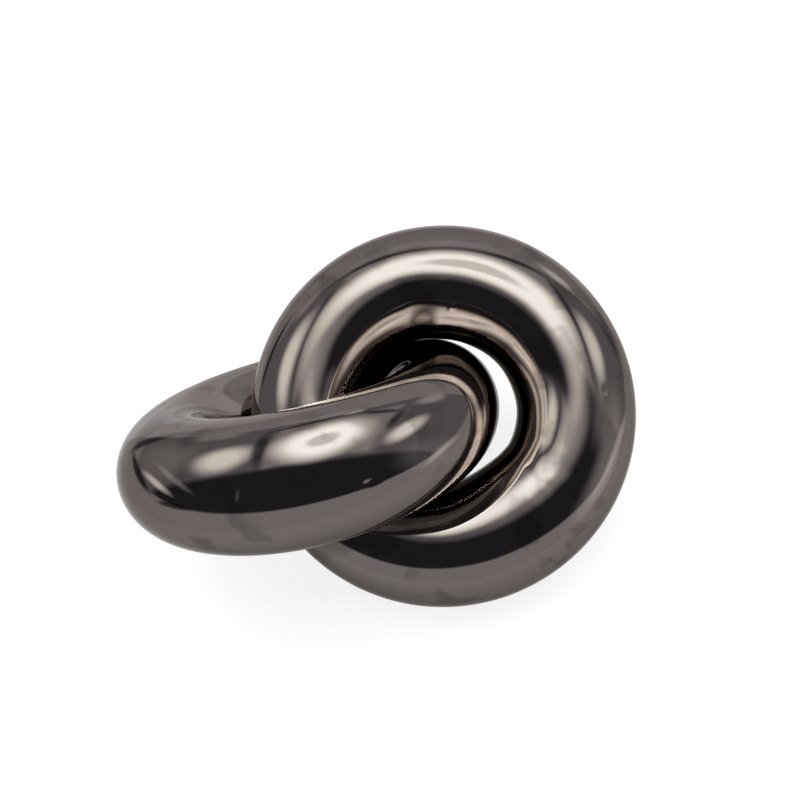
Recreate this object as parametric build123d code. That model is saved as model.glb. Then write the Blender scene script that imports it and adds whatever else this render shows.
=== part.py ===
from build123d import *

import math
import os

# Two equal tube rings, linked through each other, leaning together on a table.
# Millimetres, +Z up, Z = 0 is the table, and the Z axis is the pair's half-turn axis.
# +X runs from the middle of the left ring to the middle of the right ring.

# Ring
tube_diameter = 54.0
eye_diameter = 73.0
wall = 1.5

# Link: turn of each ring about the vertical, slip of the middles towards each other, free gap
heading = 2.65
link_slip = 2.5
link_clearance = 0.55

# Backing sleeves behind the welded seams
sleeve_wall = 1.5
sleeve_length = 16.0
sleeve_clearance = 0.1

# Vent plug that closes the plating drain
vent_diameter = 5.0
vent_clearance = 0.03
plug_depth = 4.0
plug_offset = 26.0

# Foot pad under the lowest point of each ring
pad_diameter = 16.0
pad_thickness = 1.5
pad_adhesive = 0.1

# Worked out from the sizes above
tube_radius = tube_diameter / 2
bore_radius = tube_radius - wall
bend_radius = (eye_diameter + tube_diameter) / 2
ring_spacing = bend_radius - link_slip
sleeve_turn = math.degrees(sleeve_length / bend_radius)
plug_turn = math.degrees(plug_offset / bend_radius)

# Elbows go round from the one that carries the foot, seams halfway between their middles
elbow_names = ["foot_elbow", "outer_elbow", "top_elbow", "linked_elbow"]
sleeve_names = ["foot_outer_sleeve", "outer_top_sleeve", "top_linked_sleeve", "linked_foot_sleeve"]
elbow_turn = 360.0 / len(elbow_names)


def ring_frame(lean):
    """Plane of the right ring at a lean: X towards its lowest point, Z along its axis."""
    tilt = math.radians(lean)
    turn = math.radians(heading)
    axis = Vector(
        math.sin(tilt) * math.sin(turn),
        -math.sin(tilt) * math.cos(turn),
        math.cos(tilt),
    )
    downhill = Vector(
        math.cos(tilt) * math.sin(turn),
        -math.cos(tilt) * math.cos(turn),
        -math.sin(tilt),
    )
    centre_height = bend_radius * math.sin(tilt) + tube_radius + pad_thickness
    middle = Vector(ring_spacing / 2, 0, centre_height)
    return Plane(origin=middle, x_dir=downhill, z_dir=axis)


def link_gap(lean, samples=720):
    """Least gap between the two tubes, from the distance of one centreline to the other."""
    right = ring_frame(lean)
    left_middle = Vector(-right.origin.X, -right.origin.Y, right.origin.Z)
    left_axis = Vector(-right.z_dir.X, -right.z_dir.Y, right.z_dir.Z)
    least = math.inf
    for step in range(samples):
        angle = math.tau * step / samples
        spoke = right.x_dir * math.cos(angle) + right.y_dir * math.sin(angle)
        reach = right.origin + spoke * bend_radius - left_middle
        along = reach.dot(left_axis)
        across = (reach - left_axis * along).length
        least = min(least, math.hypot(across - bend_radius, along))
    return least - tube_diameter


def lean_at_rest():
    """Fold the pair flatter, from square to each other, until the tubes come to the link clearance."""
    open_lean = 45.0
    shut_lean = 5.0
    while open_lean - shut_lean > 1e-5:
        trial = (open_lean + shut_lean) / 2
        if link_gap(trial) > link_clearance:
            open_lean = trial
        else:
            shut_lean = trial
    return open_lean


def bend(outer, inner, start, turn):
    """Curved tube about the local Z axis, from the angle start round by turn."""
    section_plane = Plane.XZ * Pos(bend_radius, 0, 0)
    section = section_plane * (Circle(outer) - Circle(inner))
    return Rot(0, 0, start) * revolve(section, Axis.Z, turn)


def vent_core(radius, top, bottom, lean):
    """Round bar along the vent's axis, between two heights measured from the tube's middle."""
    bar = Pos(0, 0, bottom) * Cylinder(radius, top - bottom, align=(Align.CENTER, Align.CENTER, Align.MIN))
    to_section = Rot(0, 0, -plug_turn) * Pos(bend_radius, 0, 0)
    return to_section * Rot(0, 180 - lean, 0) * bar


def elbow(index, lean):
    """One quarter of the ring; the foot elbow has the vent drilled through its underside."""
    shell = bend(tube_radius, bore_radius, (index - 0.5) * elbow_turn, elbow_turn)
    if index == 0:
        drill = vent_core(vent_diameter / 2, tube_radius + wall, bore_radius - wall, lean)
        shell = shell - drill
    return shell


def sleeve(index):
    """Short curved liner centred on the seam after elbow index."""
    outer = bore_radius - sleeve_clearance
    seam = (index + 0.5) * elbow_turn
    return bend(outer, outer - sleeve_wall, seam - sleeve_turn / 2, sleeve_turn)


def vent_plug(lean):
    """Plug pressed into the vent, its outer end dressed flush with the tube."""
    radius = vent_diameter / 2 - vent_clearance
    stem = vent_core(radius, tube_radius + wall, tube_radius - plug_depth, lean)
    return stem & Torus(bend_radius, tube_radius)


def foot_pad(frame):
    """Pad with a flat underside on the table and a top that takes the tube's curve."""
    foot = frame.origin + frame.x_dir * bend_radius
    blank = Cylinder(pad_diameter / 2, tube_radius, align=(Align.CENTER, Align.CENTER, Align.MIN))
    blank = Pos(foot.X, foot.Y, 0) * blank
    return blank - frame.location * Torus(bend_radius, tube_radius + pad_adhesive)


def ring_pieces(lean):
    """All pieces of the right ring, by name, where they lie at a lean."""
    frame = ring_frame(lean)
    pieces = {}
    for index, name in enumerate(elbow_names):
        pieces[name] = frame.location * elbow(index, lean)
    for index, name in enumerate(sleeve_names):
        pieces[name] = frame.location * sleeve(index)
    pieces["vent_plug"] = frame.location * vent_plug(lean)
    pieces["foot_pad"] = foot_pad(frame)
    return pieces


def main():
    """Write every piece of both rings; the left ring is the right one after a half turn."""
    os.makedirs("parts", exist_ok=True)
    lean = lean_at_rest()
    frame = ring_frame(lean)
    print("lean at rest", round(lean, 4), "link gap", round(link_gap(lean), 4))
    print("ring middle", frame.origin, "axis", frame.z_dir, "downhill", frame.x_dir)
    for name, piece in ring_pieces(lean).items():
        export_step(piece, f"parts/right_{name}.step")
        export_step(Rot(0, 0, 180) * piece, f"parts/left_{name}.step")


main()
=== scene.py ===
"""Two linked tube rings in dark mirror plate, leaning together on a pale table."""

import logging
import math
from collections.abc import Callable
from dataclasses import dataclass
from enum import Enum

import bpy
from mathutils import Matrix, Vector


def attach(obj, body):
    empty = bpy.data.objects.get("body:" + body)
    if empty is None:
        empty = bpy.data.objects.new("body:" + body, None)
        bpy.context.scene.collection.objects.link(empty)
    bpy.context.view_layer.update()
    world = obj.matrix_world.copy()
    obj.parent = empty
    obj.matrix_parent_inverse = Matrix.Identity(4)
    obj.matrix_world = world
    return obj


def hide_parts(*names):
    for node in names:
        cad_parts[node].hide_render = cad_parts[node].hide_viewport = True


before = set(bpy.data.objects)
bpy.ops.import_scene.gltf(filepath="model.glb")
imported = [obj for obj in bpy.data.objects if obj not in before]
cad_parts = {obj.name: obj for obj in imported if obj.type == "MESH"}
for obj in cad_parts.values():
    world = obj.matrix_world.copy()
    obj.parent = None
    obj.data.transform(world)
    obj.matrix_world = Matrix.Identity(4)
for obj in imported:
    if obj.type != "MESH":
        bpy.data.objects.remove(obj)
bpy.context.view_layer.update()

log = logging.getLogger("linked_rings")

Socket = bpy.types.NodeSocket
Colour = tuple[float, float, float]
Span = tuple[float, float]


class Side(Enum):
    """Which ring, as seen in the photograph."""

    LEFT = "left"
    RIGHT = "right"

    @property
    def body(self) -> str:
        """Name of the CAD body that the ring's pieces ride on."""
        return f"{self.value}_ring"

    def node(self, piece: str) -> str:
        """Name of the CAD node of one of the ring's pieces."""
        return f"{self.value}_{piece}"


class WindowShape(Enum):
    """Outline of a lit window in a tent's lining."""

    ROUND = "round"
    SQUARE = "square"


def deselect_all() -> None:
    """Leave edit mode and clear the selection."""
    if bpy.context.object and bpy.context.object.mode != "OBJECT":
        bpy.ops.object.mode_set(mode="OBJECT")
    bpy.ops.object.select_all(action="DESELECT")


def smoothstep(value: float) -> float:
    """Ease from 0 to 1 with level ends."""
    clipped = min(1.0, max(0.0, value))
    return clipped * clipped * (3.0 - 2.0 * clipped)


class NodeSheet:
    """A node tree that is being filled."""

    MIX_COLOURS = (6, 7)
    MIX_RESULT = 2

    def __init__(self, tree: bpy.types.NodeTree) -> None:
        """Start from an empty tree."""
        self.tree = tree
        tree.nodes.clear()

    def add(self, kind: str, sockets: dict | None = None, **settings: object) -> bpy.types.Node:
        """Add one node.

        Args:
            kind: Blender's type name of the node.
            sockets: Input values by name or number; a socket as value is linked.
            settings: Properties of the node itself.

        Returns:
            The new node.
        """
        node = self.tree.nodes.new(kind)
        for name, value in settings.items():
            setattr(node, name, value)
        for key, value in (sockets or {}).items():
            if isinstance(value, Socket):
                self.tree.links.new(value, node.inputs[key])
            else:
                node.inputs[key].default_value = value
        return node

    def math(self, operation: str, first: object, second: object = 0.0) -> Socket:
        """Work on one or two values or sockets with a Math node."""
        return self.add("ShaderNodeMath", {0: first, 1: second}, operation=operation).outputs[0]

    def ease(self, value: object, start: float, end: float, low: object, high: object) -> Socket:
        """Map a value from one span to another with level ends.

        Args:
            value: What is mapped.
            start: Value that gives low.
            end: Value that gives high.
            low: Result up to the start.
            high: Result from the end on.

        Returns:
            The mapped value.
        """
        node = self.add(
            "ShaderNodeMapRange",
            {"Value": value, "From Min": start, "From Max": end, "To Min": low, "To Max": high},
            interpolation_type="SMOOTHSTEP",
        )
        return node.outputs["Result"]

    def noise(self, vector: Socket, scale: float, detail: float) -> Socket:
        """Noise value at a vector, with features about 1 / scale long."""
        node = self.add("ShaderNodeTexNoise", {"Vector": vector, "Scale": scale, "Detail": detail})
        return node.outputs["Fac"]

    def blend(self, factor: object, first: object, second: object) -> Socket:
        """Mix two colours.

        Args:
            factor: Share of the second colour.
            first: A colour, or a socket that gives one.
            second: A colour, or a socket that gives one.

        Returns:
            The mixed colour.
        """
        node = self.add("ShaderNodeMix", {"Factor": factor}, data_type="RGBA")
        for number, value in zip(self.MIX_COLOURS, (first, second)):
            if isinstance(value, Socket):
                self.tree.links.new(value, node.inputs[number])
            else:
                node.inputs[number].default_value = (*value, 1.0)
        return node.outputs[self.MIX_RESULT]


def new_material(name: str) -> tuple[bpy.types.Material, NodeSheet]:
    """Make an empty node material.

    Args:
        name: Name of the material.

    Returns:
        The material, and the sheet to fill it with.
    """
    material = bpy.data.materials.new(name)
    material.use_nodes = True
    return material, NodeSheet(material.node_tree)


@dataclass(frozen=True)
class MirrorPlate:
    """Dark nickel plate over hand-polished tube: warm grey mirror with faint haze and wipe marks."""

    name: str
    tint: Colour = (0.150, 0.131, 0.121)
    worn_tint: Colour = (0.110, 0.096, 0.090)
    edge_tint: Colour = (0.58, 0.56, 0.55)
    polish: float = 0.030
    haze: float = 0.030
    patch_haze: float = 0.4
    patch_scale: float = 26.0
    patch_rise: Span = (0.3, 0.75)
    wipe_rise: Span = (0.42, 0.56)
    smudge_scale: float = 62.0
    smudge_rise: Span = (0.50, 0.60)
    grain_scale: tuple[float, float, float] = (40.0, 420.0, 1.0)
    grain_strength: float = 0.5
    grain_height: float = 0.000001

    def material(self) -> bpy.types.Material:
        """Build the plate's nodes.

        Returns:
            The finished material.
        """
        material, sheet = new_material(self.name)
        coordinate = sheet.add("ShaderNodeTexCoord")
        place = coordinate.outputs["Object"]
        patches = sheet.noise(place, self.patch_scale, detail=2.0)
        smudges = sheet.noise(place, self.smudge_scale, detail=2.0)
        smudges = sheet.ease(smudges, *self.smudge_rise, 0.0, 1.0)
        wiped = sheet.math("MULTIPLY", smudges, sheet.ease(patches, *self.wipe_rise, 0.0, 1.0))
        along = sheet.add(
            "ShaderNodeMapping",
            {"Vector": coordinate.outputs["UV"], "Scale": self.grain_scale},
        )
        grain = sheet.noise(along.outputs["Vector"], scale=1.0, detail=2.0)
        rough = sheet.ease(patches, *self.patch_rise, self.polish, self.polish + self.patch_haze * self.haze)
        rough = sheet.math("ADD", rough, sheet.math("MULTIPLY", wiped, self.haze))
        bump = sheet.add(
            "ShaderNodeBump",
            {"Strength": self.grain_strength, "Distance": self.grain_height, "Height": grain},
        )
        shader = sheet.add(
            "ShaderNodeBsdfPrincipled",
            {
                "Base Color": sheet.blend(wiped, self.tint, self.worn_tint),
                "Metallic": 1.0,
                "Roughness": rough,
                "Specular Tint": (*self.edge_tint, 1.0),
                "Normal": bump.outputs["Normal"],
            },
        )
        sheet.add("ShaderNodeOutputMaterial", {"Surface": shader.outputs[0]})
        return material


@dataclass(frozen=True)
class RolledSteel:
    """Bare rolled steel of the backing sleeves, with mill grain and heat tint from the weld."""

    name: str
    clean: Colour = (0.55, 0.54, 0.53)
    stained: Colour = (0.36, 0.31, 0.27)
    stain_scale: float = 90.0
    stain_rise: Span = (0.42, 0.68)
    grain_scale: float = 900.0
    grain_rise: Span = (0.2, 0.8)
    grain_strength: float = 0.4
    grain_height: float = 0.00004
    roughness: Span = (0.32, 0.52)

    def material(self) -> bpy.types.Material:
        """Build the steel's nodes.

        Returns:
            The finished material.
        """
        material, sheet = new_material(self.name)
        place = sheet.add("ShaderNodeTexCoord").outputs["Object"]
        stain = sheet.noise(place, self.stain_scale, detail=4.0)
        stain = sheet.ease(stain, *self.stain_rise, 0.0, 1.0)
        grain = sheet.noise(place, self.grain_scale, detail=3.0)
        bump = sheet.add(
            "ShaderNodeBump",
            {"Strength": self.grain_strength, "Distance": self.grain_height, "Height": grain},
        )
        shader = sheet.add(
            "ShaderNodeBsdfPrincipled",
            {
                "Base Color": sheet.blend(stain, self.clean, self.stained),
                "Metallic": 1.0,
                "Roughness": sheet.ease(grain, *self.grain_rise, *self.roughness),
                "Normal": bump.outputs["Normal"],
            },
        )
        sheet.add("ShaderNodeOutputMaterial", {"Surface": shader.outputs[0]})
        return material


@dataclass(frozen=True)
class PadRubber:
    """Fine matt rubber of the foot pads, with dust in its grain."""

    name: str
    black: Colour = (0.040, 0.040, 0.041)
    dusty: Colour = (0.085, 0.083, 0.080)
    dust_scale: float = 260.0
    dust_rise: Span = (0.45, 0.75)
    pore_scale: float = 2200.0
    pore_rise: Span = (0.2, 0.8)
    pore_strength: float = 0.6
    pore_depth: float = 0.00005
    roughness: Span = (0.62, 0.86)
    shine: float = 0.35

    def material(self) -> bpy.types.Material:
        """Build the rubber's nodes.

        Returns:
            The finished material.
        """
        material, sheet = new_material(self.name)
        place = sheet.add("ShaderNodeTexCoord").outputs["Object"]
        pores = sheet.noise(place, self.pore_scale, detail=2.0)
        dust = sheet.noise(place, self.dust_scale, detail=4.0)
        dust = sheet.ease(dust, *self.dust_rise, 0.0, 1.0)
        bump = sheet.add(
            "ShaderNodeBump",
            {"Strength": self.pore_strength, "Distance": self.pore_depth, "Height": pores},
        )
        shader = sheet.add(
            "ShaderNodeBsdfPrincipled",
            {
                "Base Color": sheet.blend(dust, self.black, self.dusty),
                "Roughness": sheet.ease(pores, *self.pore_rise, *self.roughness),
                "Specular IOR Level": self.shine,
                "Normal": bump.outputs["Normal"],
            },
        )
        sheet.add("ShaderNodeOutputMaterial", {"Surface": shader.outputs[0]})
        return material


@dataclass(frozen=True)
class RingLie:
    """How a ring lies: its middle, the way straight down its slope, and its axis."""

    middle: Vector
    downhill: Vector
    axis: Vector

    @classmethod
    def of_right_ring(cls, spacing: float, lean: float, heading: float, height: float) -> "RingLie":
        """Lay the right ring down as the CAD frame has it.

        Args:
            spacing: From the left ring's middle to the right ring's.
            lean: Degrees of the ring's slope.
            heading: Degrees that the slope is turned about the upright axis.
            height: Of the ring's middle over the table.

        Returns:
            The right ring's lie.
        """
        tilt = math.radians(lean)
        away = Vector((math.sin(math.radians(heading)), -math.cos(math.radians(heading)), 0.0))
        up = Vector((0.0, 0.0, 1.0))
        downhill = away * math.cos(tilt) - up * math.sin(tilt)
        axis = away * math.sin(tilt) + up * math.cos(tilt)
        return cls(Vector((spacing / 2, 0.0, height)), downhill, axis)

    def half_turn(self) -> "RingLie":
        """Turn the lie half round the upright axis, which takes one ring to the other."""
        turn = Matrix.Rotation(math.pi, 3, "Z")
        return RingLie(turn @ self.middle, turn @ self.downhill, turn @ self.axis)

    def matrix(self) -> Matrix:
        """Frame with X down the slope, Y to the free end and Z along the ring's axis."""
        turn = Matrix((self.downhill, self.axis.cross(self.downhill), self.axis)).transposed()
        return Matrix.Translation(self.middle) @ turn.to_4x4()


@dataclass(frozen=True)
class Blemish:
    """A small high or low spot in the polish, by its place round the ring and round the tube."""

    name: str
    turn: float
    roll: float
    reach: float
    height: float


@dataclass(frozen=True)
class Swell:
    """A long fat or thin stretch on one side of the tube, by degrees round the ring and round the tube."""

    name: str
    start: float
    full_from: float
    full_to: float
    end: float
    height: float
    side: float = 180.0
    narrowness: float = 2.0

    def weight(self, turn: float, roll: float) -> float:
        """Weigh a place: full along the stretch on its side of the tube, none on the opposite side.

        Args:
            turn: Degrees round the ring from the foot.
            roll: Degrees round the tube from its outer side.

        Returns:
            The weight, from 0 to 1.
        """
        middle = (self.start + self.end) / 2
        turn = middle + (turn - middle + 180.0) % 360.0 - 180.0
        facing = (1.0 + math.cos(math.radians(roll - self.side))) / 2
        rise = smoothstep((turn - self.start) / (self.full_from - self.start))
        fall = smoothstep((self.end - turn) / (self.end - self.full_to))
        return facing**self.narrowness * rise * fall


@dataclass
class RingShell:
    """Polished skin of one ring, run seamlessly over its four welded bends."""

    side: Side
    lie: RingLie
    tube_diameter: float = 0.054
    eye_diameter: float = 0.073
    around_ring: int = 400
    around_tube: int = 200
    seam_turn: float = 45.0
    wave_length: float = 0.030
    wave_height: float = 0.00010
    seam_wave_length: float = 0.009
    seam_wave_height: float = 0.0
    seam_spread: float = 11.0
    seam_side: Span = (65.0, 115.0)
    least_weight: float = 0.0005
    vent_diameter: float = 0.005
    vent_depth: float = 0.0042
    vent_facets: int = 96
    plug_offset: float = 0.026
    smooth_angle: float = 35.0
    swells: tuple[Swell, ...] = ()
    blemishes: tuple[Blemish, ...] = ()

    BENDS = ("foot_elbow", "outer_elbow", "top_elbow", "linked_elbow")

    @property
    def tube_radius(self) -> float:
        """Outside radius of the tube."""
        return self.tube_diameter / 2

    @property
    def bend_radius(self) -> float:
        """Radius of the ring at the middle of the tube."""
        return (self.eye_diameter + self.tube_diameter) / 2

    def build(self, plate: bpy.types.Material) -> bpy.types.Object:
        """Model the skin and dress it.

        Args:
            plate: Finish of the skin.

        Returns:
            The finished piece.
        """
        skin = self.rough_ring()
        self.swell_bends(skin)
        self.polish_waves(skin)
        self.spoil(skin)
        self.drill_vent(skin)
        deselect_all()
        skin.select_set(True)
        bpy.context.view_layer.objects.active = skin
        bpy.ops.object.shade_smooth_by_angle(angle=math.radians(self.smooth_angle))
        skin.data.materials.clear()
        skin.data.materials.append(plate)
        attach(skin, self.side.body)
        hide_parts(*[self.side.node(bend) for bend in self.BENDS])
        return skin

    def rough_ring(self) -> bpy.types.Object:
        """Add the bent tube at its size and place.

        Returns:
            The tube, with its place in its mesh.
        """
        deselect_all()
        matrix = self.lie.matrix()
        bpy.ops.mesh.primitive_torus_add(
            major_segments=self.around_ring,
            minor_segments=self.around_tube,
            major_radius=self.bend_radius,
            minor_radius=self.tube_radius,
            location=matrix.to_translation(),
            rotation=matrix.to_euler(),
        )
        skin = bpy.context.object
        skin.name = f"{self.side.value}_ring_skin"
        skin.data.name = skin.name
        bpy.ops.object.transform_apply(location=True, rotation=True, scale=True)
        return skin

    def mark(self, skin: bpy.types.Object, name: str, weight: Callable[[float, float], float]) -> str:
        """Weight the skin's points by their place on the ring.

        Args:
            skin: The ring's skin.
            name: Name of the vertex group.
            weight: Weight by degrees round the ring from the foot, and round the tube from its outer side.

        Returns:
            The group's name.
        """
        group = skin.vertex_groups.new(name=name)
        inverse = self.lie.matrix().inverted()
        for vertex in skin.data.vertices:
            place = inverse @ vertex.co
            turn = math.degrees(math.atan2(place.y, place.x))
            roll = math.degrees(math.atan2(place.z, math.hypot(place.x, place.y) - self.bend_radius))
            amount = weight(turn, roll)
            if amount > self.least_weight:
                group.add([vertex.index], min(1.0, amount), "REPLACE")
        return group.name

    def push(
        self, skin: bpy.types.Object, name: str, height: float, group: str = "", wave: float = 0.0
    ) -> None:
        """Move the skin along its normals and apply it.

        Args:
            skin: The ring's skin.
            name: Name of the modifier.
            height: How far full weight moves.
            group: Vertex group that limits the move, or none.
            wave: Length of the waves, or 0 for a plain move.
        """
        move = skin.modifiers.new(name, "DISPLACE")
        move.direction = "NORMAL"
        move.strength = height
        move.mid_level = 0.5 if wave else 0.0
        move.vertex_group = group
        if wave:
            cloud = bpy.data.textures.new(f"{skin.name}_{name}", "CLOUDS")
            cloud.noise_scale = wave
            cloud.noise_depth = 1
            move.texture = cloud
            move.texture_coords = "LOCAL"
        bpy.context.view_layer.objects.active = skin
        bpy.ops.object.modifier_apply(modifier=name)

    def swell_bends(self, skin: bpy.types.Object) -> None:
        """Fatten or thin the tube where the eye isn't quite round."""
        for swell in self.swells:
            self.push(skin, swell.name, swell.height, self.mark(skin, swell.name, swell.weight))

    def polish_waves(self, skin: bpy.types.Object) -> None:
        """Leave the long waves of hand polishing, and shorter ones where the seam was dressed.

        Args:
            skin: The ring's skin.
        """
        self.push(skin, "polish_waves", self.wave_height, wave=self.wave_length)
        if not self.seam_wave_height:
            return

        def weight(turn: float, roll: float) -> float:
            """Strongest at the seam, on the eye side and the crest."""
            start, full = self.seam_side
            inner = smoothstep((abs(roll) - start) / (full - start))
            return inner * math.exp(-(((turn - self.seam_turn) / self.seam_spread) ** 2))

        group = self.mark(skin, "dressed_seam", weight)
        self.push(skin, "seam_waves", self.seam_wave_height, group, self.seam_wave_length)

    def spoil(self, skin: bpy.types.Object) -> None:
        """Raise or sink the small spots that polishing left.

        Args:
            skin: The ring's skin.
        """
        ring_step = math.radians(1.0) * self.bend_radius
        tube_step = math.radians(1.0) * self.tube_radius
        for spot in self.blemishes:

            def weight(turn: float, roll: float, spot: Blemish = spot) -> float:
                """Rounded bump about the spot."""
                along = (turn - spot.turn) * ring_step
                round_tube = (roll - spot.roll) * tube_step
                return math.exp(-(along * along + round_tube * round_tube) / (spot.reach * spot.reach))

            self.push(skin, spot.name, spot.height, self.mark(skin, spot.name, weight))

    def drill_vent(self, skin: bpy.types.Object) -> None:
        """Drill the vent that the plug closes, straight up into the underside beside the foot.

        Args:
            skin: The ring's skin.
        """
        turn = -self.plug_offset / self.bend_radius
        matrix = self.lie.matrix() @ Matrix.Rotation(turn, 4, "Z")
        slope = math.asin(-self.lie.downhill.z)
        outwards = matrix.to_3x3() @ Vector((math.sin(slope), 0.0, -math.cos(slope)))
        middle = matrix @ Vector((self.bend_radius, 0.0, 0.0))
        deselect_all()
        bpy.ops.mesh.primitive_cylinder_add(
            vertices=self.vent_facets,
            radius=self.vent_diameter / 2,
            depth=2 * self.vent_depth,
            location=middle + outwards * self.tube_radius,
            rotation=outwards.to_track_quat("Z", "Y").to_euler(),
        )
        drill = bpy.context.object
        drill.name = f"{self.side.value}_vent_drill"
        cut = skin.modifiers.new("vent", "BOOLEAN")
        cut.operation = "DIFFERENCE"
        cut.solver = "EXACT"
        cut.object = drill
        bpy.context.view_layer.objects.active = skin
        bpy.ops.object.modifier_apply(modifier="vent")
        deselect_all()
        drill.select_set(True)
        bpy.ops.object.delete()


@dataclass
class RingFittings:
    """The ring's pieces that keep their CAD shape: plug, pad and backing sleeves."""

    side: Side

    SLEEVES = ("foot_outer_sleeve", "outer_top_sleeve", "top_linked_sleeve", "linked_foot_sleeve")

    def dress(
        self, plate: bpy.types.Material, steel: bpy.types.Material, rubber: bpy.types.Material
    ) -> list[str]:
        """Give each piece its finish.

        Args:
            plate: Finish of the vent plug.
            steel: Finish of the sleeves.
            rubber: Finish of the pad.

        Returns:
            Names of the dressed nodes.
        """
        finishes = {"vent_plug": plate, "foot_pad": rubber}
        finishes.update(dict.fromkeys(self.SLEEVES, steel))
        for piece, finish in finishes.items():
            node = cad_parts[self.side.node(piece)]
            node.data.materials.clear()
            node.data.materials.append(finish)
        return [self.side.node(piece) for piece in finishes]


def echo_gain(sheet: NodeSheet, echo: float | Socket) -> Socket:
    """Lift light that reaches the eye by way of more than one mirror.

    Args:
        sheet: The node sheet of what shines.
        echo: How many times the light is lifted.

    Returns:
        1 for the eye itself and the first mirror, the lift for every later one.
    """
    depth = sheet.add("ShaderNodeLightPath").outputs["Ray Depth"]
    extra = sheet.math("MAXIMUM", sheet.math("SUBTRACT", depth, 1.0), 0.0)
    return sheet.math("POWER", echo, sheet.math("MINIMUM", extra, 1.0))


@dataclass(frozen=True)
class Window:
    """A lit place in a tent's lining, in degrees from straight overhead.

    Attributes:
        at: Its middle, to the right and to the back.
        half: Half its width and half its depth.
        fade: Share of its reach over which it goes to nothing.
        light: What it adds at its core and at its rim; for a strut, the share that it takes away.
        spin: How far it is turned.
        shape: Its outline.
    """

    at: Span
    half: Span
    fade: float
    light: Span = (1.0, 1.0)
    spin: float = 0.0
    shape: WindowShape = WindowShape.ROUND

    CORE_TO_RIM = (0.45, 0.9)

    def reach(self, sheet: NodeSheet, plan: Socket) -> Socket:
        """Measure from the window's middle, with 1 at its edge.

        Args:
            sheet: The tent's node sheet.
            plan: Place on the lining, in degrees.

        Returns:
            The measure.
        """
        local = sheet.add(
            "ShaderNodeMapping",
            {
                "Vector": plan,
                "Location": (*self.at, 0.0),
                "Rotation": (0.0, 0.0, math.radians(self.spin)),
                "Scale": (*self.half, 1.0),
            },
            vector_type="TEXTURE",
        ).outputs["Vector"]
        if self.shape is WindowShape.ROUND:
            return sheet.add("ShaderNodeVectorMath", {0: local}, operation="LENGTH").outputs["Value"]
        parts = sheet.add("ShaderNodeSeparateXYZ", {0: local}).outputs
        across = sheet.math("ABSOLUTE", parts["X"])
        return sheet.math("MAXIMUM", across, sheet.math("ABSOLUTE", parts["Y"]))

    def glow(self, sheet: NodeSheet, plan: Socket) -> Socket:
        """Light of the window, from its core to its rim and away to nothing at its edge.

        Args:
            sheet: The tent's node sheet.
            plan: Place on the lining, in degrees.

        Returns:
            The light.
        """
        reach = self.reach(sheet, plan)
        inside = 1.0 - self.fade
        core_end, rim_start = (share * inside for share in self.CORE_TO_RIM)
        light = sheet.ease(reach, core_end, rim_start, *self.light)
        return sheet.math("MULTIPLY", light, sheet.ease(reach, inside, 1.0, 1.0, 0.0))


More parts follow.
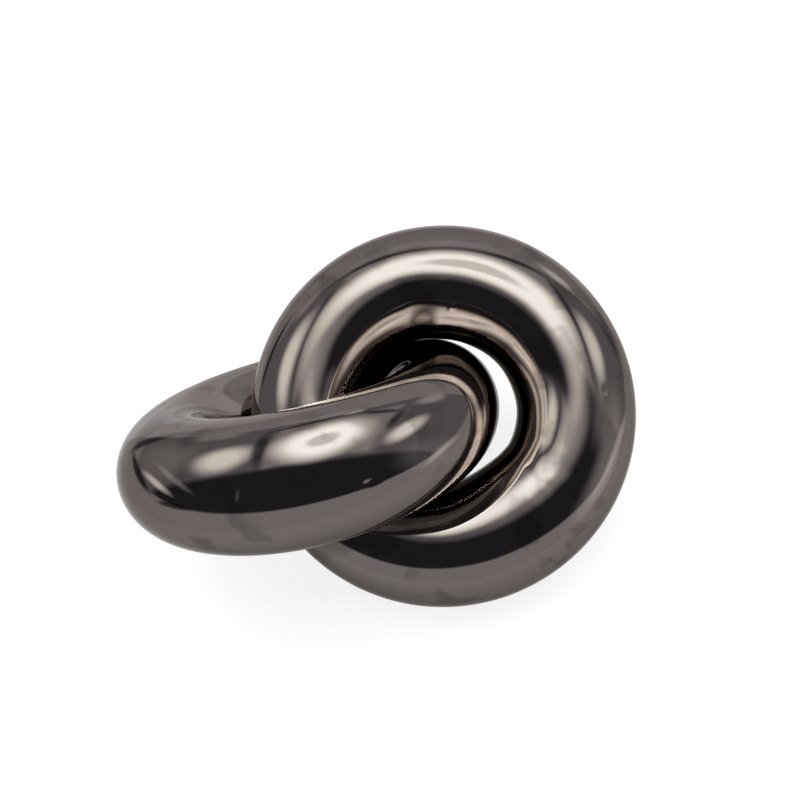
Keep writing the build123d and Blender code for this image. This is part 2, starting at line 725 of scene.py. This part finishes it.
@dataclass(frozen=True)
class LightTent:
    """Near lining of soft light that one ring reflects: white low down, dark in front, lit windows above."""

    side: Side
    hood: Window
    windows: tuple[Window, ...]
    struts: tuple[Window, ...]
    radius: float = 0.34
    middle_height: float = 0.06
    low_light: float = 0.95
    front_light: float = 0.075
    back_light: float = 0.5
    front_edge: Span = (-28.0, -20.0)
    front_slope: float = 0.0
    echo: Span = (2.2, 3.6)
    echo_rise: Span = (1.0, 2.2)
    echo_fill: Window = Window(at=(2.0, 2.0), half=(62.0, 30.0), light=(1.6, 1.6), fade=0.85)
    echo_floor: float = 0.25
    front_colour: Colour = (0.92, 0.93, 1.12)
    low_colour: Colour = (1.0, 0.995, 1.045)
    pane_colour: Colour = (1.0, 1.02, 0.96)
    lamp_colour: Colour = (1.0, 1.07, 1.05)
    front_to_low: Span = (0.1, 0.6)
    low_to_pane: Span = (1.1, 2.5)
    pane_to_lamp: Span = (3.6, 5.0)
    segments: int = 64

    FIRST_MIRROR = 1.5

    def build(self, receivers: bpy.types.Collection) -> bpy.types.Object:
        """Hang the tent over the stage.

        Args:
            receivers: What reflects the tent.

        Returns:
            The tent.
        """
        deselect_all()
        bpy.ops.mesh.primitive_uv_sphere_add(
            segments=self.segments,
            ring_count=self.segments // 2,
            radius=self.radius,
            location=(0.0, 0.0, self.middle_height),
        )
        tent = bpy.context.object
        tent.name = f"{self.side.value}_light_tent"
        tent.data.materials.append(self.material())
        tent.visible_camera = False
        tent.visible_diffuse = False
        tent.visible_shadow = False
        tent.light_linking.receiver_collection = receivers
        return tent

    def plan(self, sheet: NodeSheet) -> Socket:
        """Lay the lining flat: degrees from overhead, to the right and to the back.

        Args:
            sheet: The tent's node sheet.

        Returns:
            The place on the lining.
        """
        place = sheet.add("ShaderNodeTexCoord").outputs["Object"]
        way = sheet.add("ShaderNodeVectorMath", {0: place}, operation="NORMALIZE").outputs["Vector"]
        height = sheet.add("ShaderNodeSeparateXYZ", {0: way}).outputs["Z"]
        angle = sheet.math("MULTIPLY", sheet.math("ARCCOSINE", height), math.degrees(1.0))
        level = sheet.add("ShaderNodeVectorMath", {0: way, 1: (1.0, 1.0, 0.0)}, operation="MULTIPLY")
        level = sheet.add("ShaderNodeVectorMath", {0: level.outputs["Vector"]}, operation="NORMALIZE")
        flat = sheet.add("ShaderNodeVectorMath", {0: level.outputs["Vector"]}, operation="SCALE")
        sheet.tree.links.new(angle, flat.inputs["Scale"])
        return flat.outputs["Vector"]

    def light(self, sheet: NodeSheet, plan: Socket) -> Socket:
        """Level of the lining's light, with struts in first reflections only and a fill in later ones.

        Args:
            sheet: The tent's node sheet.
            plan: Place on the lining, in degrees.

        Returns:
            The level.
        """
        flat = sheet.add("ShaderNodeSeparateXYZ", {0: plan}).outputs
        ahead = sheet.math("ADD", flat["Y"], sheet.math("MULTIPLY", flat["X"], self.front_slope))
        inner = sheet.ease(ahead, *self.front_edge, self.front_light, self.back_light)
        light = sheet.ease(self.hood.reach(sheet, plan), 1.0 - self.hood.fade, 1.0, inner, self.low_light)
        for window in self.windows:
            light = sheet.math("ADD", light, window.glow(sheet, plan))
        depth = sheet.add("ShaderNodeLightPath").outputs["Ray Depth"]
        first = sheet.math("LESS_THAN", depth, self.FIRST_MIRROR)
        for strut in self.struts:
            shade = sheet.math("MULTIPLY", strut.glow(sheet, plan), first)
            light = sheet.math("MULTIPLY", light, sheet.math("SUBTRACT", 1.0, shade))
        later = sheet.math("SUBTRACT", 1.0, first)
        fill = sheet.math("MULTIPLY", self.echo_fill.glow(sheet, plan), later)
        light = sheet.math("ADD", light, fill)
        return sheet.math("MAXIMUM", light, sheet.math("MULTIPLY", later, self.echo_floor))

    def colour(self, sheet: NodeSheet, light: Socket) -> Socket:
        """Colour of the lining's light, which goes with its level.

        Args:
            sheet: The tent's node sheet.
            light: Level of the light.

        Returns:
            The colour.
        """
        brighter = (
            (self.front_to_low, self.low_colour),
            (self.low_to_pane, self.pane_colour),
            (self.pane_to_lamp, self.lamp_colour),
        )
        colour = self.front_colour
        for rise, next_colour in brighter:
            colour = sheet.blend(sheet.ease(light, *rise, 0.0, 1.0), colour, next_colour)
        return colour

    def material(self) -> bpy.types.Material:
        """Build the lining's nodes: it shines and lets everything through.

        Returns:
            The finished material.
        """
        material, sheet = new_material(f"{self.side.value}_light_tent")
        light = self.light(sheet, self.plan(sheet))
        echo = sheet.ease(light, *self.echo_rise, *self.echo)
        strength = sheet.math("MULTIPLY", light, echo_gain(sheet, echo))
        shine = sheet.add("ShaderNodeEmission", {"Color": self.colour(sheet, light), "Strength": strength})
        clear = sheet.add("ShaderNodeBsdfTransparent")
        both = sheet.add("ShaderNodeAddShader", {0: shine.outputs[0], 1: clear.outputs[0]})
        sheet.add("ShaderNodeOutputMaterial", {"Surface": both.outputs[0]})
        return material


SQUARE = WindowShape.SQUARE

LEFT_TENT = LightTent(
    side=Side.LEFT,
    hood=Window(at=(5.0, 1.5), half=(87.0, 78.0), fade=0.04),
    front_slope=0.1,
    windows=(
        # far wall, and the main pane with its bright frame
        Window(at=(5.0, 72.0), half=(100.0, 31.0), light=(0.45, 0.45), fade=0.08, shape=SQUARE),
        Window(at=(6.0, 7.0), half=(27.0, 31.0), light=(0.45, 0.45), fade=0.15, shape=SQUARE),
        Window(at=(4.0, 4.0), half=(26.0, 33.0), light=(2.6, 5.0), fade=0.62),
        # side wall, side panes and slits
        Window(at=(-62.0, 12.0), half=(22.0, 30.0), light=(0.25, 0.25), fade=0.8),
        Window(at=(-36.0, 0.0), half=(16.0, 22.0), light=(3.2, 3.2), fade=0.72, spin=-18.0),
        Window(at=(47.0, -1.0), half=(11.0, 22.0), light=(3.4, 3.4), fade=0.72, spin=-20.0),
        Window(at=(30.0, -8.0), half=(12.0, 22.0), light=(0.5, 0.5), fade=0.7),
        Window(at=(-71.0, -11.0), half=(3.5, 22.0), light=(2.2, 2.2), fade=0.8, spin=18.0),
        Window(at=(-60.0, -12.0), half=(3.0, 26.0), light=(0.6, 0.6), fade=0.8, spin=18.0),
        # glints on the far wall
        Window(at=(-42.0, 38.0), half=(13.0, 9.0), light=(0.5, 0.5), fade=0.8),
        Window(at=(6.0, 41.0), half=(6.0, 3.0), light=(1.8, 1.8), fade=0.8),
        Window(at=(-4.0, 45.0), half=(22.0, 6.0), light=(0.3, 0.3), fade=0.8),
        Window(at=(47.0, 37.0), half=(13.0, 9.0), light=(1.2, 1.2), fade=0.8),
        # glints and the bright right corner of the dark front
        Window(at=(-32.0, -46.0), half=(1.5, 10.0), light=(0.25, 0.25), fade=0.8, spin=-15.0),
        Window(at=(37.0, -61.0), half=(4.0, 4.0), light=(0.9, 0.9), fade=0.8),
        Window(at=(72.0, -34.0), half=(30.0, 28.0), light=(0.30, 0.30), fade=0.8),
        Window(at=(86.0, -28.0), half=(6.0, 30.0), light=(0.8, 0.8), fade=0.8, spin=-20.0),
    ),
    struts=(
        Window(at=(-22.0, 6.0), half=(4.0, 36.0), light=(0.72, 0.72), fade=0.75, spin=3.0),
        Window(at=(-12.0, 36.0), half=(18.0, 3.2), light=(0.7, 0.7), fade=0.7, spin=14.0),
        Window(at=(22.0, 31.0), half=(17.0, 3.4), light=(0.75, 0.75), fade=0.7, spin=-24.0),
        Window(at=(34.5, 14.0), half=(3.5, 16.0), light=(0.6, 0.6), fade=0.7),
        Window(at=(-80.5, 5.0), half=(3.5, 30.0), light=(0.85, 0.85), fade=0.6, spin=3.0),
        Window(at=(-70.0, -36.0), half=(3.5, 17.0), light=(0.8, 0.8), fade=0.6, spin=39.0),
        Window(at=(-73.0, 36.0), half=(5.0, 18.0), light=(0.8, 0.8), fade=0.7, spin=-55.0),
    ),
)
RIGHT_TENT = LightTent(
    side=Side.RIGHT,
    hood=Window(at=(4.0, 0.0), half=(92.0, 79.0), fade=0.05),
    radius=0.342,
    front_edge=(-25.0, -19.0),
    windows=(
        # far wall, and the main pane with its bright frame
        Window(at=(5.0, 64.0), half=(110.0, 38.0), light=(0.36, 0.36), fade=0.05, shape=SQUARE),
        Window(at=(10.0, 33.0), half=(36.0, 10.0), light=(0.30, 0.30), fade=0.8),
        Window(at=(14.0, 0.0), half=(31.0, 22.0), light=(0.5, 0.5), fade=0.15, shape=SQUARE),
        Window(at=(13.0, -2.5), half=(34.0, 26.0), light=(2.6, 4.8), fade=0.60),
        # side panes and glints on the far wall
        Window(at=(-33.0, -3.0), half=(17.0, 20.0), light=(3.0, 3.0), fade=0.72),
        Window(at=(56.0, -3.0), half=(12.0, 18.0), light=(2.7, 2.7), fade=0.75, spin=-10.0),
        Window(at=(53.0, 33.0), half=(10.0, 8.0), light=(1.4, 1.4), fade=0.85, spin=-35.0),
        Window(at=(-34.0, 25.0), half=(9.0, 6.0), light=(0.5, 0.5), fade=0.8),
        # soft edge and bright right corner of the dark front
        Window(at=(18.0, -26.0), half=(26.0, 15.0), light=(1.2, 1.2), fade=0.95),
        Window(at=(55.0, -26.0), half=(20.0, 12.0), light=(0.45, 0.45), fade=0.9),
        Window(at=(78.0, -38.0), half=(26.0, 40.0), light=(0.70, 0.70), fade=0.8, spin=-10.0),
        Window(at=(86.0, -28.0), half=(5.0, 34.0), light=(0.9, 0.9), fade=0.8, spin=-25.0),
    ),
    struts=(
        Window(at=(-7.0, 22.8), half=(15.0, 3.6), light=(0.6, 0.6), fade=0.7),
        Window(at=(32.0, 23.5), half=(15.0, 3.6), light=(0.6, 0.6), fade=0.7, spin=5.0),
        Window(at=(-18.0, 0.0), half=(3.0, 20.0), light=(0.4, 0.4), fade=0.75),
        Window(at=(45.5, 4.0), half=(2.6, 24.0), light=(0.6, 0.6), fade=0.7),
        Window(at=(-62.0, 31.0), half=(22.0, 6.0), light=(0.85, 0.85), fade=0.6, spin=20.0),
        Window(at=(82.0, 32.0), half=(18.0, 20.0), light=(0.55, 0.55), fade=0.8),
    ),
)


@dataclass
class Studio:
    """Pale table in a plain white room, with a broad lamp, a light tent for each ring, and the camera."""

    tents: tuple[LightTent, ...] = (LEFT_TENT, RIGHT_TENT)
    table_size: float = 12.0
    table_drop: float = 0.0003
    table_glow: Span = (0.80, 1.0)
    table_far: Span = (0.35, 1.1)
    # Glow of the table as the metal sees it, from near the rings to further out (painted shade near the
    # rings), and the distances over which that painted shade lifts.
    table_mirrored_painted_shade: Span = (0.45, 0.70)
    table_painted_shade_reach: Span = (0.05, 0.24)
    table_echo: float = 1.3
    table_edge: Span = (0.333, 0.336)
    table_paint: Colour = (0.34, 0.34, 0.34)
    ambient: float = 0.45
    lamp_height: float = 1.4
    lamp_back: float = 0.15
    lamp_size: float = 1.1
    lamp_power: float = 14.0
    camera_place: tuple[float, float, float] = (0.04905, -0.18348, 0.27602)
    camera_azimuth: float = -10.680
    camera_elevation: float = 47.574
    camera_roll: float = -16.172
    camera_lens: float = 26.55
    camera_sensor: float = 36.0
    camera_near: float = 0.01

    def build(self, receivers: dict[Side, list[bpy.types.Object]]) -> None:
        """Set the stage round the rings.

        Args:
            receivers: The pieces of each ring, which reflect that ring's tent.
        """
        self.room()
        self.table()
        self.lamp()
        for tent in self.tents:
            collection = bpy.data.collections.new(f"{tent.side.value}_receivers")
            for piece in receivers[tent.side]:
                collection.objects.link(piece)
            tent.build(collection)
        self.camera()
        bpy.context.scene.view_settings.view_transform = "Standard"

    def room(self) -> None:
        """Light the room: white to the eye, plain grey to matt pieces; the metal sees its tent instead."""
        world = bpy.data.worlds.new("room")
        world.use_nodes = True
        bpy.context.scene.world = world
        sheet = NodeSheet(world.node_tree)
        path = sheet.add("ShaderNodeLightPath").outputs
        seen = sheet.math("MAXIMUM", path["Is Camera Ray"], path["Is Transmission Ray"])
        level = sheet.ease(seen, 0.0, 1.0, self.ambient, 1.0)
        level = sheet.ease(path["Is Glossy Ray"], 0.0, 1.0, level, 0.0)
        sky = sheet.add("ShaderNodeBackground", {"Color": (1.0, 1.0, 1.0, 1.0), "Strength": level})
        sheet.add("ShaderNodeOutputWorld", {"Surface": sky.outputs[0]})

    def table(self) -> None:
        """Lay the pale table top under the rings."""
        deselect_all()
        bpy.ops.mesh.primitive_plane_add(size=self.table_size, location=(0.0, 0.0, -self.table_drop))
        top = bpy.context.object
        top.name = "table_top"
        top.data.materials.append(self.table_finish())

    def table_finish(self) -> bpy.types.Material:
        """Build the table's nodes: white to the eye, dimmer in the metal with painted shade there near the
        rings, and with the rings' shadow on it.

        Returns:
            The finished material.
        """
        material, sheet = new_material("table_top")
        path = sheet.add("ShaderNodeLightPath").outputs
        seen = sheet.math("MAXIMUM", path["Is Camera Ray"], path["Is Transmission Ray"])
        place = sheet.add("ShaderNodeTexCoord").outputs["Object"]
        away = sheet.add("ShaderNodeVectorMath", {0: place}, operation="LENGTH").outputs["Value"]
        # Painted shade: in the metal, the table's glow is darker near the rings by distance alone, as if the
        # rings shaded it.
        mirrored_painted_shade = sheet.ease(away, *self.table_painted_shade_reach, *self.table_mirrored_painted_shade)
        mirrored_painted_shade = sheet.math("MULTIPLY", mirrored_painted_shade, echo_gain(sheet, self.table_echo))
        inside = sheet.ease(away, *self.table_edge, 1.0, 0.0)
        mirrored_painted_shade = sheet.math("MULTIPLY", mirrored_painted_shade, inside)
        level = sheet.math("MULTIPLY", seen, sheet.ease(away, *self.table_far, *self.table_glow))
        level = sheet.ease(path["Is Glossy Ray"], 0.0, 1.0, level, mirrored_painted_shade)
        hidden = sheet.math("MULTIPLY", path["Is Glossy Ray"], sheet.math("SUBTRACT", 1.0, inside))
        colour = sheet.blend(hidden, self.table_paint, (0.0, 0.0, 0.0))
        paint = sheet.add("ShaderNodeBsdfDiffuse", {"Color": colour})
        glow = sheet.add("ShaderNodeEmission", {"Strength": level})
        both = sheet.add("ShaderNodeAddShader", {0: paint.outputs[0], 1: glow.outputs[0]})
        sheet.add("ShaderNodeOutputMaterial", {"Surface": both.outputs[0]})
        return material

    def lamp(self) -> None:
        """Hang the broad lamp that throws the soft shadow on the table."""
        deselect_all()
        bpy.ops.object.light_add(type="AREA", location=(0.0, self.lamp_back, self.lamp_height))
        lamp = bpy.context.object
        lamp.name = "broad_lamp"
        lamp.data.size = self.lamp_size
        lamp.data.energy = self.lamp_power
        lamp.visible_glossy = False
        lamp.visible_camera = False

    def camera(self) -> None:
        """Stand the camera where the photograph was taken from."""
        azimuth = math.radians(self.camera_azimuth)
        elevation = math.radians(self.camera_elevation)
        forward = Vector((
            math.sin(azimuth) * math.cos(elevation),
            math.cos(azimuth) * math.cos(elevation),
            -math.sin(elevation),
        ))
        right = forward.cross(Vector((0.0, 0.0, 1.0))).normalized()
        up = right.cross(forward)
        turn = Matrix((right, up, -forward)).transposed()
        turn = turn @ Matrix.Rotation(math.radians(self.camera_roll), 3, "Z")
        deselect_all()
        bpy.ops.object.camera_add(location=self.camera_place, rotation=turn.to_euler())
        camera = bpy.context.object
        camera.name = "photo_camera"
        camera.data.sensor_width = self.camera_sensor
        camera.data.lens = self.camera_lens
        camera.data.clip_start = self.camera_near
        bpy.context.scene.camera = camera


def ring_shells() -> tuple[RingShell, RingShell]:
    """Size the two skins, each with its own swells and blemishes.

    Returns:
        The left and the right skin.
    """
    right_lie = RingLie.of_right_ring(spacing=0.061, lean=31.599, heading=2.65, height=0.0617722)
    shoulder = Swell(
        "linked_shoulder",
        start=-110.0,
        full_from=-74.0,
        full_to=-56.0,
        end=-20.0,
        height=0.00075,
        side=62.0,
        narrowness=6.0,
    )
    left = RingShell(
        Side.LEFT,
        right_lie.half_turn(),
        swells=(shoulder,),
        blemishes=(Blemish("top_scratch", turn=-155.5, roll=2.8, reach=0.0009, height=-0.00015),),
    )
    right = RingShell(
        Side.RIGHT,
        right_lie,
        seam_wave_height=0.0004,
        swells=(
            Swell("foot_swell", start=-14.0, full_from=22.0, full_to=24.0, end=54.0, height=0.0016),
            Swell("side_relief", start=36.0, full_from=60.0, full_to=74.0, end=112.0, height=-0.0011),
            Swell("top_swell", start=108.0, full_from=148.0, full_to=166.0, end=188.0, height=0.00125),
        ),
        blemishes=(
            Blemish("eye_nub", turn=160.1, roll=133.7, reach=0.0012, height=0.00035),
            Blemish("crest_pit", turn=82.9, roll=69.9, reach=0.0011, height=-0.00025),
        ),
    )
    return left, right


def main() -> None:
    """Build both rings, dress their fittings and set the stage."""
    logging.basicConfig(level=logging.INFO, format="%(name)s: %(message)s")
    plate = MirrorPlate("dark_nickel_plate").material()
    plug_plate = MirrorPlate("dressed_plug_plate", polish=0.06, haze=0.05).material()
    steel = RolledSteel("rolled_steel").material()
    rubber = PadRubber("pad_rubber").material()
    receivers: dict[Side, list[bpy.types.Object]] = {}
    for shell in ring_shells():
        skin = shell.build(plate)
        log.info("%s: %d faces on %s", skin.name, len(skin.data.polygons), shell.side.body)
        for name in RingFittings(shell.side).dress(plug_plate, steel, rubber):
            log.info("%s dressed", name)
        receivers[shell.side] = [skin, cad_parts[shell.side.node("vent_plug")]]
    Studio().build(receivers)


if __name__ == "__main__":
    main()
